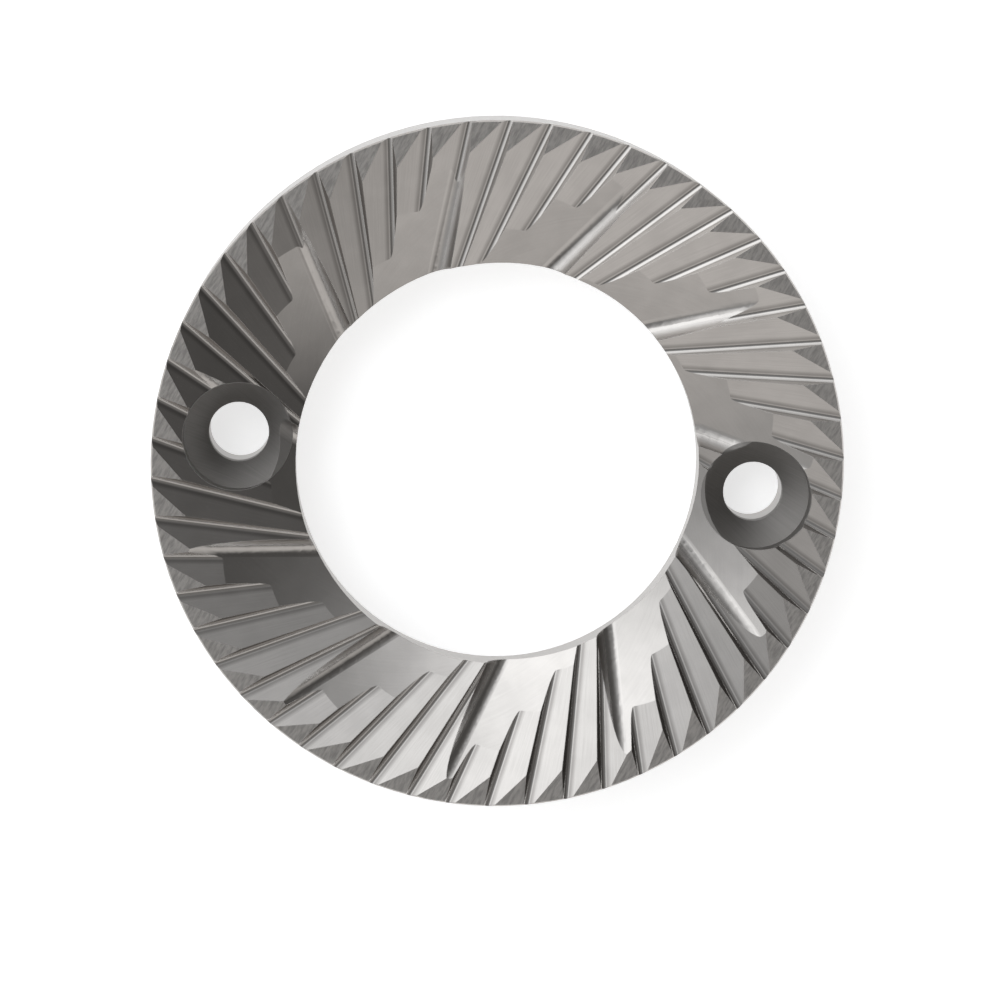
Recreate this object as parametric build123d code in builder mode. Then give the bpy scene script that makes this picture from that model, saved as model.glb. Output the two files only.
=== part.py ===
"""Flat grinding burr of a coffee grinder: one hardened steel ring with cut teeth.

The ring lies on its back, with the teeth up. Its axis is Z, the back face is on
z = 0 and the two screw holes are on X. The toothed face is what is left of a plain
ring after two families of cuts: fine grooves all round, and deep breakers, each with a
conical relief that falls to a steep wall and leads the beans in from the bore.
"""
import os
from math import cos, radians, sin, sqrt, tan

from build123d import *

# Ring
outer_diameter = 64.0
bore_diameter = 37.5
thickness = 8.5
register_diameter = 40.0
register_depth = 3.0
edge_chamfer = 0.4
rim_edge_break = 0.15

# Fine grooves: each runs straight from rim to bore, beside the axis, and gets deeper inwards
tooth_count = 54
tooth_phase = 4.76
groove_offset = 9.2
groove_rim_depth = 0.19
groove_fall_angle = 9.6
facet_angle = 17.9
tooth_wall_angle = 52.0
groove_root_radius = 0.45

# Breakers: evenly spaced, and out of step with the fine grooves
breaker_count = 11
breaker_phase = 21.64
breaker_wall_offset = 7.41
breaker_wall_end_radius = 30.0
breaker_wall_turn = 2.1
breaker_wall_angle = 80.0
breaker_root_radius = 1.4
relief_slope_angle = 26.6
relief_axis_along = 4.4
relief_axis_aside = -10.4
relief_rim_radius = 30.7

# Screws: two countersunk heads, sunk below the teeth
screw_count = 2
screw_circle_diameter = 48.4
screw_hole_diameter = 5.6
screw_head_diameter = 10.0
screw_head_seat_depth = 2.2
screw_head_angle = 90.0

# Worked out from the sizes above
outer_radius = outer_diameter / 2
bore_radius = bore_diameter / 2
register_radius = register_diameter / 2
cutter_height = thickness


def slope(angle):
    """Rise for each millimetre of run on a slope of this angle."""
    return tan(radians(angle))


# One fine groove: a steep wall on one side, the long facet of the tooth on the other, and a round root
tooth_pitch = radians(360 / tooth_count) * outer_radius
facet_rise = tooth_pitch * slope(facet_angle)
wall_run = cutter_height / slope(tooth_wall_angle)
groove_run = sqrt(outer_radius**2 - groove_offset**2)
groove_foot = (0, groove_offset, thickness - groove_rim_depth - groove_run * slope(groove_fall_angle))
groove_direction = (cos(radians(groove_fall_angle)), 0, sin(radians(groove_fall_angle)))
groove_plane = Plane(origin=groove_foot, x_dir=(0, 1, 0), z_dir=groove_direction)
with BuildPart() as groove:
    with BuildSketch(groove_plane) as groove_section:
        with BuildLine():
            Polyline(
                (0, 0),
                (tooth_pitch, facet_rise),
                (tooth_pitch, cutter_height),
                (-wall_run, cutter_height),
                close=True,
            )
        make_face()
        fillet(groove_section.vertices().sort_by(Axis.Y)[0], groove_root_radius)
    extrude(amount=outer_diameter)

# One breaker: part of a cone that ends in a steep wall, with a round root between the two
relief_depth = relief_rim_radius * slope(relief_slope_angle)
relief_height = relief_depth + thickness
wall_end = (sqrt(breaker_wall_end_radius**2 - breaker_wall_offset**2), breaker_wall_offset, thickness)
wall_direction = (
    -sin(radians(breaker_wall_turn)) * sin(radians(breaker_wall_angle)),
    cos(radians(breaker_wall_turn)) * sin(radians(breaker_wall_angle)),
    cos(radians(breaker_wall_angle)),
)
with BuildPart() as breaker:
    with Locations((relief_axis_along, relief_axis_aside, thickness - relief_depth)):
        Cone(
            bottom_radius=0,
            top_radius=relief_height / slope(relief_slope_angle),
            height=relief_height,
            align=(Align.CENTER, Align.CENTER, Align.MIN),
        )
    split(bisect_by=Plane(origin=wall_end, z_dir=wall_direction))
    split(bisect_by=Plane.YZ)
    relief_face = breaker.faces().filter_by(GeomType.CONE)[0]
    wall_face = breaker.faces().filter_by(Axis(wall_end, wall_direction))[0]
    fillet(relief_face.edges() & wall_face.edges(), breaker_root_radius)

with BuildPart() as burr:
    # Turned ring with a register for the carrier in its back
    with BuildSketch(Plane.XZ):
        with BuildLine():
            Polyline(
                (register_radius, 0),
                (outer_radius, 0),
                (outer_radius, thickness - rim_edge_break),
                (outer_radius - rim_edge_break, thickness),
                (bore_radius, thickness),
                (bore_radius, register_depth),
                (register_radius, register_depth),
                close=True,
            )
        make_face()
    revolve(axis=Axis.Z)
    chamfer(burr.faces().sort_by(Axis.Z)[0].edges(), edge_chamfer)

    # Teeth
    with PolarLocations(0, tooth_count, start_angle=tooth_phase):
        add(groove.part, mode=Mode.SUBTRACT)
    with PolarLocations(0, breaker_count, start_angle=breaker_phase):
        add(breaker.part, mode=Mode.SUBTRACT)

    # Screw holes
    with Locations(Plane.XY.offset(thickness - screw_head_seat_depth)):
        with PolarLocations(screw_circle_diameter / 2, screw_count):
            CounterSinkHole(
                radius=screw_hole_diameter / 2,
                counter_sink_radius=screw_head_diameter / 2,
                depth=thickness,
                counter_sink_angle=screw_head_angle,
            )

burr.part.label = "burr"

os.makedirs("parts", exist_ok=True)
export_step(burr.part, "parts/burr.step")
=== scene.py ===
"""Studio picture of a flat coffee grinder burr that lies on a white floor, teeth up."""
from math import cos, pi, radians, sin, tau

import bmesh
import bpy
from mathutils import Matrix, Vector

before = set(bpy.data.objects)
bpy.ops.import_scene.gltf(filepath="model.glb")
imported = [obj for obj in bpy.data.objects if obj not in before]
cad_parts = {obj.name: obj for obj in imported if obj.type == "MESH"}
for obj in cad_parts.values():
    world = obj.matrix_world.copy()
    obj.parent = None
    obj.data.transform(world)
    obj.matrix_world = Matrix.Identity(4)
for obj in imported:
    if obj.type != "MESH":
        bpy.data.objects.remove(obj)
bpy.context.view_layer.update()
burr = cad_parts["burr"]

MM_PER_M = 1000.0

# Layout of the cuts, in millimetres and degrees, as in the part's source
THICKNESS = 8.5
REGISTER_DEPTH = 3.0
TOOTH_COUNT = 54
TOOTH_PHASE = 4.76
GROOVE_OFFSET = 9.2
BREAKER_COUNT = 11
BREAKER_PHASE = 21.64
BREAKER_OFFSET = 7.41
RELIEF_AXIS = (4.4, -10.4)
SCREW_RADIUS = 24.2
SCREW_HEAD_RADIUS = 5.0

# Facing, by which the kinds of surface are told apart: the cosine of the slope. It is 1 on the lands,
# 0.94 on the tooth facets, 0.89 on the reliefs, 0.61 on the tooth walls, 0.17 on the breaker walls,
# 0 on the sides and -1 on the back. A pair of numbers is a soft edge
LAND_FACING = 0.99
FACET_FACING = (0.91, 0.93)
RELIEF_FACING = ((0.82, 0.88), (0.90, 0.93))
BREAKER_ROOT_FACING = (0.82, 0.89)
STEEP_FACING = (0.2, 0.5)
SIDE_FACING = 0.1
BACK_FACING = -0.9

# Where the kinds of surface start and stop, in millimetres: heights, distances from the line of a cut,
# and distances from the middle of a screw
LAND_HEIGHT = THICKNESS - 0.1
COUNTERSINK_HEIGHT = REGISTER_DEPTH + 0.05
COUNTERSINK_EDGE = (SCREW_HEAD_RADIUS + 0.02, SCREW_HEAD_RADIUS + 0.08)
# The strip of painted shade on the facets beside each groove root
ROOT_SHADE_STRIP = ((0.26, 0.42), (0.42, 0.85))
BREAKER_ROOT_STRIP = ((-0.2, 0.1), (1.1, 1.8))

# Steel: bright where it is ground, with painted shade in the countersinks and beside the groove roots,
# and a lighter colour on the edges that is partly wear and partly a painted highlight
GROUND_STEEL = (0.492, 0.471, 0.452, 1.0)
DULL_STEEL = (0.379, 0.363, 0.348, 1.0)
SCRATCHED_STEEL = (0.330, 0.316, 0.303, 1.0)
PAINTED_COUNTERSINK_SHADE = (0.245, 0.235, 0.225, 1.0)
WORN_EDGE_AND_HIGHLIGHT = (0.632, 0.607, 0.585, 1.0)
PAINTED_ROOT_SHADE = (0.246, 0.233, 0.222, 1.0)

# Roughness of the steel. Cuts and plain surfaces have a base and what the marks add to it, and the
# lands go from the first number to the second with their scratches
CUT_ROUGHNESS = (0.10, 0.04)
PLAIN_ROUGHNESS = (0.24, 0.12)
LAND_ROUGHNESS = (0.62, 0.46)
BREAKER_ROOT_ROUGHNESS = 0.30
COUNTERSINK_ROUGHNESS = 0.58

# How fine the marks are, along and across their strokes: steps of the noise to a millimetre, or to a
# radian round the axis of a relief
TOOTH_MARKS = (0.22, 9.0)
RELIEF_MARKS = (4.0, 7.0)
TURNED_MARKS = (0.12, 5.0)
HATCH_MARKS = (0.7, 3.4)
HATCH_ANGLE = 67
BLOTCHES = 0.35
COARSE_STROKES = dict(detail=5.0, roughness=0.7)

# How deep the marks are: the size in metres of the hatch on the lands, and the shares of it elsewhere
BUMP_DISTANCE = 0.00006
BUMP_STRENGTH = 0.5
CUT_MARK_DEPTH = 0.018
PLAIN_MARK_DEPTH = 0.07

# Edges: radii in metres, the bend over which they get worn, and how much of the worn colour shows, which is
# partly a painted highlight
EDGE_RADIUS = 0.00007
BREAKER_ROOT_RADIUS = 0.0004
EDGE_BEND = (0.995, 0.93)
EDGE_WEAR_AND_HIGHLIGHT = 0.6

# Camera, fitted to the ends of the grooves at the rim. Lengths are in metres and pixels
IMAGE_PX = 1000
FOCAL_PX = 3578.4
DISTANCE = 0.330
TILT = 8.738
TILT_AZIMUTH = 109.04
UP_AZIMUTH = 96.96
TOP_CENTRE_PX = (-1.65, 31.44)
SENSOR_WIDTH_MM = 36.0
CLIP_START = 0.01

# Studio: a wide soft light on the upper left, a dimmer one below, and a dim room, a little lighter
# overhead. Zenith angles are in degrees from straight up, and the fill's width is in cosines round Z
KEY_AZIMUTH = 148
KEY_LEVEL = 1.88
KEY_FALLOFF = 4.15
KEY_TINT = (0.975, 1.000, 1.024, 1.0)
FILL_AZIMUTH = 290
FILL_LEVEL = 0.74
FILL_WIDTH = (0.14, 1.0)
FILL_ZENITHS = ((75, 52), (42, 24))
ROOM_LEVEL = 0.114
ROOM_TINT = (1.018, 1.000, 0.982, 1.0)
OVERHEAD_LEVEL = 0.30
OVERHEAD_ZENITHS = (33, 12)

# Floor, in metres: flat as far as the last ring, then a bend of a quarter turn up into the wall
FLOOR_RINGS = (0.0, 0.02, 0.05, 0.15, 0.5, 1.2)
FLOOR_BEND_RADIUS = 0.4
FLOOR_BEND_STEPS = 8
FLOOR_SIDES = 96
FLOOR_GAP = 0.00001
FLOOR_COLOUR = (0.82, 0.82, 0.82, 1.0)
FLOOR_GLOW = 0.65


def direction(azimuth, zenith):
    """Unit vector at this azimuth round Z and this angle from +Z, in degrees."""
    a, z = radians(azimuth), radians(zenith)
    return Vector((sin(z) * cos(a), sin(z) * sin(a), cos(z)))


class Graph:
    """Short names for the shader nodes that the materials and the world are made of."""

    def __init__(self, tree):
        self.tree = tree
        tree.nodes.clear()

    def node(self, kind, inputs=None, **settings):
        """Makes a node with these settings, and links or sets its inputs."""
        made = self.tree.nodes.new(kind)
        for name, value in settings.items():
            setattr(made, name, value)
        for socket, value in (inputs or {}).items():
            self.put(made.inputs[socket], value)
        return made

    def put(self, socket, value):
        """Links a socket, or sets a plain value."""
        if isinstance(value, bpy.types.NodeSocket):
            self.tree.links.new(value, socket)
        else:
            socket.default_value = value

    def math(self, operation, *values):
        made = self.node("ShaderNodeMath", operation=operation)
        for socket, value in zip(made.inputs, values):
            self.put(socket, value)
        return made.outputs[0]

    def plus(self, a, b):
        return self.math("ADD", a, b)

    def minus(self, a, b):
        return self.math("SUBTRACT", a, b)

    def times(self, a, b):
        return self.math("MULTIPLY", a, b)

    def length(self, x, y):
        return self.math("SQRT", self.plus(self.times(x, x), self.times(y, y)))

    def rotate(self, x, y, c, s):
        """Coordinates along and across the direction with this cosine and sine."""
        along = self.plus(self.times(x, c), self.times(y, s))
        across = self.minus(self.times(y, c), self.times(x, s))
        return along, across

    def ramp(self, value, low, high, to_low=0.0, to_high=1.0):
        """Value taken smoothly from low..high to to_low..to_high, and held at the ends."""
        made = self.node("ShaderNodeMapRange", interpolation_type="SMOOTHSTEP")
        for socket, number in zip(made.inputs, (value, low, high, to_low, to_high)):
            self.put(socket, number)
        return made.outputs[0]

    def fall(self, value, low, high):
        """1 up to low and 0 from high on."""
        return self.ramp(value, low, high, 1.0, 0.0)

    def band(self, value, rise, fall):
        """1 from the end of the rise to the start of the fall, and 0 outside both."""
        return self.times(self.ramp(value, *rise), self.fall(value, *fall))

    def blend(self, factor, a, b):
        """a where the factor is 0 and b where it is 1."""
        return self.plus(a, self.times(factor, self.minus(b, a)))

    def mix(self, factor, a, b):
        """Colour a where the factor is 0 and b where it is 1."""
        made = self.node("ShaderNodeMix", data_type="RGBA")
        for socket, value in zip((made.inputs[0], made.inputs[6], made.inputs[7]), (factor, a, b)):
            self.put(socket, value)
        return made.outputs[2]

    def noise(self, vector, scale=1.0, detail=3.0, roughness=0.55):
        inputs = {"Vector": vector, "Scale": scale, "Detail": detail, "Roughness": roughness}
        return self.node("ShaderNodeTexNoise", inputs).outputs["Fac"]

    def join(self, x, y, z=0.0):
        return self.node("ShaderNodeCombineXYZ", {0: x, 1: y, 2: z}).outputs[0]

    def split(self, vector):
        return self.node("ShaderNodeSeparateXYZ", {0: vector}).outputs


def cut_frame(g, x, y, count, phase, offset):
    """Coordinates along and across the nearest cut of a family of straight cuts beside the axis."""
    pitch = tau / count
    angle = g.math("ARCTAN2", y, x)
    lead = g.math("ARCSINE", g.math("MINIMUM", g.math("DIVIDE", offset, g.length(x, y)), 0.999))
    index = g.math("FLOOR", g.math("DIVIDE", g.minus(g.minus(angle, lead), radians(phase)), pitch))
    heading = g.plus(g.times(index, pitch), radians(phase))
    along, across = g.rotate(x, y, g.math("COSINE", heading), g.math("SINE", heading))
    return along, across, index


def ground_steel():
    """Hardened tool steel: smooth ground cuts, scratched lands, plain sides and back, countersinks darkened
    by painted shade.
    """
    material = bpy.data.materials.new("ground_steel")
    material.use_nodes = True
    g = Graph(material.node_tree)

    # Place in millimetres, and beside the nearest groove and the nearest breaker
    metres = g.node("ShaderNodeTexCoord").outputs["Object"]
    place = g.node("ShaderNodeVectorMath", {0: metres, "Scale": MM_PER_M}, operation="SCALE").outputs[0]
    x, y, z = g.split(place)
    along, across, tooth = cut_frame(g, x, y, TOOTH_COUNT, TOOTH_PHASE, GROOVE_OFFSET)
    reach, aside, breaker = cut_frame(g, x, y, BREAKER_COUNT, BREAKER_PHASE, BREAKER_OFFSET)

    # Where each kind of surface is
    normal = g.node("ShaderNodeNewGeometry").outputs["Normal"]
    facing = g.split(normal)[2]
    level = g.math("ABSOLUTE", facing)
    upward = g.math("GREATER_THAN", facing, LAND_FACING)
    land = g.times(upward, g.math("GREATER_THAN", z, LAND_HEIGHT))
    relief = g.band(facing, *RELIEF_FACING)
    steep = g.fall(level, *STEEP_FACING)
    side = g.math("LESS_THAN", level, SIDE_FACING)
    back = g.math("LESS_THAN", facing, BACK_FACING)
    plain = g.math("MAXIMUM", side, back)
    # Painted shade: a darker strip on the facets beside each groove root
    by_groove = g.band(g.minus(across, GROOVE_OFFSET), *ROOT_SHADE_STRIP)
    root_shade = g.times(by_groove, g.ramp(level, *FACET_FACING))
    by_wall = g.band(g.minus(aside, BREAKER_OFFSET), *BREAKER_ROOT_STRIP)
    breaker_root = g.times(by_wall, g.fall(facing, *BREAKER_ROOT_FACING))
    from_screw = g.length(g.minus(g.math("ABSOLUTE", x), SCREW_RADIUS), y)
    by_screw = g.fall(from_screw, *COUNTERSINK_EDGE)
    sunk = g.times(by_screw, g.math("GREATER_THAN", z, COUNTERSINK_HEIGHT))

    # Marks left by each cut, and blotches all over
    tooth_along, tooth_across = g.times(along, TOOTH_MARKS[0]), g.times(across, TOOTH_MARKS[1])
    tooth_marks = g.noise(g.join(tooth_along, tooth_across, tooth))
    swing_x, swing_y = g.minus(reach, RELIEF_AXIS[0]), g.minus(aside, RELIEF_AXIS[1])
    relief_along = g.times(g.math("ARCTAN2", swing_y, swing_x), RELIEF_MARKS[0])
    relief_across = g.times(g.length(swing_x, swing_y), RELIEF_MARKS[1])
    relief_marks = g.noise(g.join(relief_across, relief_along, breaker))
    relief_marks = g.math("MULTIPLY_ADD", relief_marks, 0.5, 0.25)
    turned_x, turned_y = g.times(x, TURNED_MARKS[0]), g.times(y, TURNED_MARKS[0])
    turned_marks = g.noise(g.join(turned_x, turned_y, g.times(z, TURNED_MARKS[1])), **COARSE_STROKES)
    hatch_x, hatch_y = g.rotate(x, y, cos(radians(HATCH_ANGLE)), sin(radians(HATCH_ANGLE)))
    hatch_along, hatch_across = g.times(hatch_x, HATCH_MARKS[0]), g.times(hatch_y, HATCH_MARKS[1])
    hatch = g.noise(g.join(hatch_along, hatch_across), **COARSE_STROKES)
    marks = g.blend(relief, tooth_marks, relief_marks)
    marks = g.blend(side, marks, turned_marks)
    marks = g.blend(back, marks, hatch)
    blotches = g.noise(place, BLOTCHES, detail=2.0)

    # Edges: rounded a little, and rubbed bright, partly a painted highlight. The breaker roots are
    # softened, and not rubbed or painted bright
    radius = g.blend(breaker_root, EDGE_RADIUS, BREAKER_ROOT_RADIUS)
    rounded = g.node("ShaderNodeBevel", {"Radius": radius}, samples=2).outputs[0]
    bend = g.node("ShaderNodeVectorMath", {0: rounded, 1: normal}, operation="DOT_PRODUCT")
    edge = g.times(g.ramp(bend.outputs["Value"], *EDGE_BEND), g.ramp(blotches, 0.3, 0.6, 0.3, 1.0))
    edge = g.times(edge, g.minus(1.0, breaker_root))

    # Colour
    dull = g.ramp(g.plus(marks, blotches), 0.7, 1.3, 0.0, 0.4)
    steep_colour = g.mix(g.ramp(marks, 0.1, 0.9), SCRATCHED_STEEL, GROUND_STEEL)
    land_colour = g.mix(g.ramp(hatch, 0.36, 0.62), SCRATCHED_STEEL, GROUND_STEEL)
    colour = g.mix(steep, g.mix(dull, GROUND_STEEL, DULL_STEEL), steep_colour)
    # Painted shade beside the groove roots, patchy with the blotches
    colour = g.mix(g.times(root_shade, g.ramp(blotches, 0.2, 0.8, 0.7, 0.9)), colour, PAINTED_ROOT_SHADE)
    colour = g.mix(land, colour, land_colour)
    # Painted shade: the countersinks are coloured darker
    colour = g.mix(g.times(sunk, g.ramp(marks, 0.2, 0.8, 1.0, 0.8)), colour, PAINTED_COUNTERSINK_SHADE)
    # Worn edges, lighter in colour: partly wear and partly a painted highlight
    colour = g.mix(g.times(edge, EDGE_WEAR_AND_HIGHLIGHT), colour, WORN_EDGE_AND_HIGHLIGHT)

    # Roughness
    bare = g.blend(plain, CUT_ROUGHNESS[0], PLAIN_ROUGHNESS[0])
    added = g.times(marks, g.blend(plain, CUT_ROUGHNESS[1], PLAIN_ROUGHNESS[1]))
    roughness = g.blend(breaker_root, g.plus(bare, added), BREAKER_ROOT_ROUGHNESS)
    roughness = g.blend(land, roughness, g.ramp(hatch, 0.3, 0.7, *LAND_ROUGHNESS))
    roughness = g.blend(sunk, roughness, COUNTERSINK_ROUGHNESS)

    # Depth of the marks
    depth = g.times(marks, g.blend(plain, CUT_MARK_DEPTH, PLAIN_MARK_DEPTH))
    bump = g.node("ShaderNodeBump", {
        "Strength": BUMP_STRENGTH,
        "Distance": BUMP_DISTANCE,
        "Height": g.blend(land, depth, hatch),
        "Normal": rounded,
    })

    shader = g.node("ShaderNodeBsdfPrincipled", {
        "Base Color": colour,
        "Metallic": 1.0,
        "Roughness": roughness,
        "Normal": bump.outputs[0],
    })
    g.node("ShaderNodeOutputMaterial", {"Surface": shader.outputs[0]})
    return material


def white_floor():
    """A white round floor that curves up into a low wall. It is seen white, and keeps the ring's shadow."""
    profile = [(ring, 0.0) for ring in FLOOR_RINGS]
    for step in range(1, FLOOR_BEND_STEPS + 1):
        turn = step * pi / (2 * FLOOR_BEND_STEPS)
        out, up = FLOOR_BEND_RADIUS * sin(turn), FLOOR_BEND_RADIUS - FLOOR_BEND_RADIUS * cos(turn)
        profile.append((FLOOR_RINGS[-1] + out, up))
    mesh = bmesh.new()
    edge = [mesh.verts.new((r, 0.0, h - FLOOR_GAP)) for r, h in profile]
    rungs = [mesh.edges.new(pair) for pair in zip(edge, edge[1:])]
    axis = dict(cent=(0, 0, 0), axis=(0, 0, 1))
    bmesh.ops.spin(mesh, geom=edge + rungs, **axis, angle=tau, steps=FLOOR_SIDES, use_merge=True)
    bmesh.ops.remove_doubles(mesh, verts=mesh.verts, dist=1e-6)
    for face in mesh.faces:
        face.smooth = True
    data = bpy.data.meshes.new("floor")
    mesh.to_mesh(data)
    mesh.free()
    floor = bpy.data.objects.new("floor", data)
    bpy.context.scene.collection.objects.link(floor)

    material = bpy.data.materials.new("white_floor")
    material.use_nodes = True
    g = Graph(material.node_tree)
    rays = g.node("ShaderNodeLightPath").outputs
    mirrored = g.math("MAXIMUM", rays["Is Glossy Ray"], rays["Is Transmission Ray"])
    seen = g.math("MAXIMUM", rays["Is Camera Ray"], mirrored)
    glow = g.node("ShaderNodeEmission", {"Strength": g.times(seen, FLOOR_GLOW)})
    matt = g.node("ShaderNodeBsdfDiffuse", {"Color": FLOOR_COLOUR})
    both = g.node("ShaderNodeAddShader", {0: glow.outputs[0], 1: matt.outputs[0]})
    g.node("ShaderNodeOutputMaterial", {"Surface": both.outputs[0]})
    data.materials.append(material)
    return floor


def studio_world():
    """Dim room with the two soft lights round the ring."""
    world = bpy.data.worlds.new("studio")
    world.use_nodes = True
    g = Graph(world.node_tree)
    x, y, z = g.split(g.node("ShaderNodeTexCoord").outputs["Generated"])
    level_out = g.math("MAXIMUM", g.length(x, y), 0.001)

    def towards(azimuth):
        """Cosine of the angle round Z from this azimuth."""
        a = radians(azimuth)
        return g.math("DIVIDE", g.plus(g.times(x, cos(a)), g.times(y, sin(a))), level_out)

    def heights(zeniths):
        """Heights on the unit sphere at these zenith angles."""
        return [cos(radians(zenith)) for zenith in zeniths]

    half = g.math("MULTIPLY_ADD", towards(KEY_AZIMUTH), 0.5, 0.5)
    key = g.times(g.math("POWER", half, KEY_FALLOFF), KEY_LEVEL)
    rise, fall = [heights(zeniths) for zeniths in FILL_ZENITHS]
    around = g.ramp(towards(FILL_AZIMUTH), *FILL_WIDTH)
    fill = g.times(g.times(around, g.band(z, rise, fall)), FILL_LEVEL)
    sides = g.plus(g.plus(key, fill), ROOM_LEVEL)
    overhead = g.ramp(z, *heights(OVERHEAD_ZENITHS))
    background = g.node("ShaderNodeBackground", {
        "Color": g.mix(g.math("DIVIDE", key, sides), ROOM_TINT, KEY_TINT),
        "Strength": g.blend(overhead, sides, OVERHEAD_LEVEL),
    })
    g.node("ShaderNodeOutputWorld", {"Surface": background.outputs[0]})
    bpy.context.scene.world = world


def photo_camera():
    """Camera over the ring, turned and aimed as in the photo."""
    back = direction(TILT_AZIMUTH, TILT)
    up = direction(UP_AZIMUTH, 90)
    right = up.cross(back).normalized()
    up = back.cross(right)
    top_centre = Vector((0, 0, THICKNESS / MM_PER_M))
    px = DISTANCE / FOCAL_PX
    aim = top_centre - right * TOP_CENTRE_PX[0] * px - up * TOP_CENTRE_PX[1] * px
    eye = top_centre + back * DISTANCE
    look = (eye - aim).normalized()
    right = up.cross(look).normalized()
    up = look.cross(right)
    data = bpy.data.cameras.new("camera")
    data.sensor_width = SENSOR_WIDTH_MM
    data.lens = FOCAL_PX * SENSOR_WIDTH_MM / IMAGE_PX
    data.clip_start = CLIP_START
    camera = bpy.data.objects.new("camera", data)
    camera.matrix_world = Matrix.Translation(eye) @ Matrix((right, up, look)).transposed().to_4x4()
    bpy.context.scene.collection.objects.link(camera)
    bpy.context.scene.camera = camera


burr.data.materials.clear()
burr.data.materials.append(ground_steel())
white_floor()
studio_world()
photo_camera()
bpy.context.scene.view_settings.view_transform = "Standard"
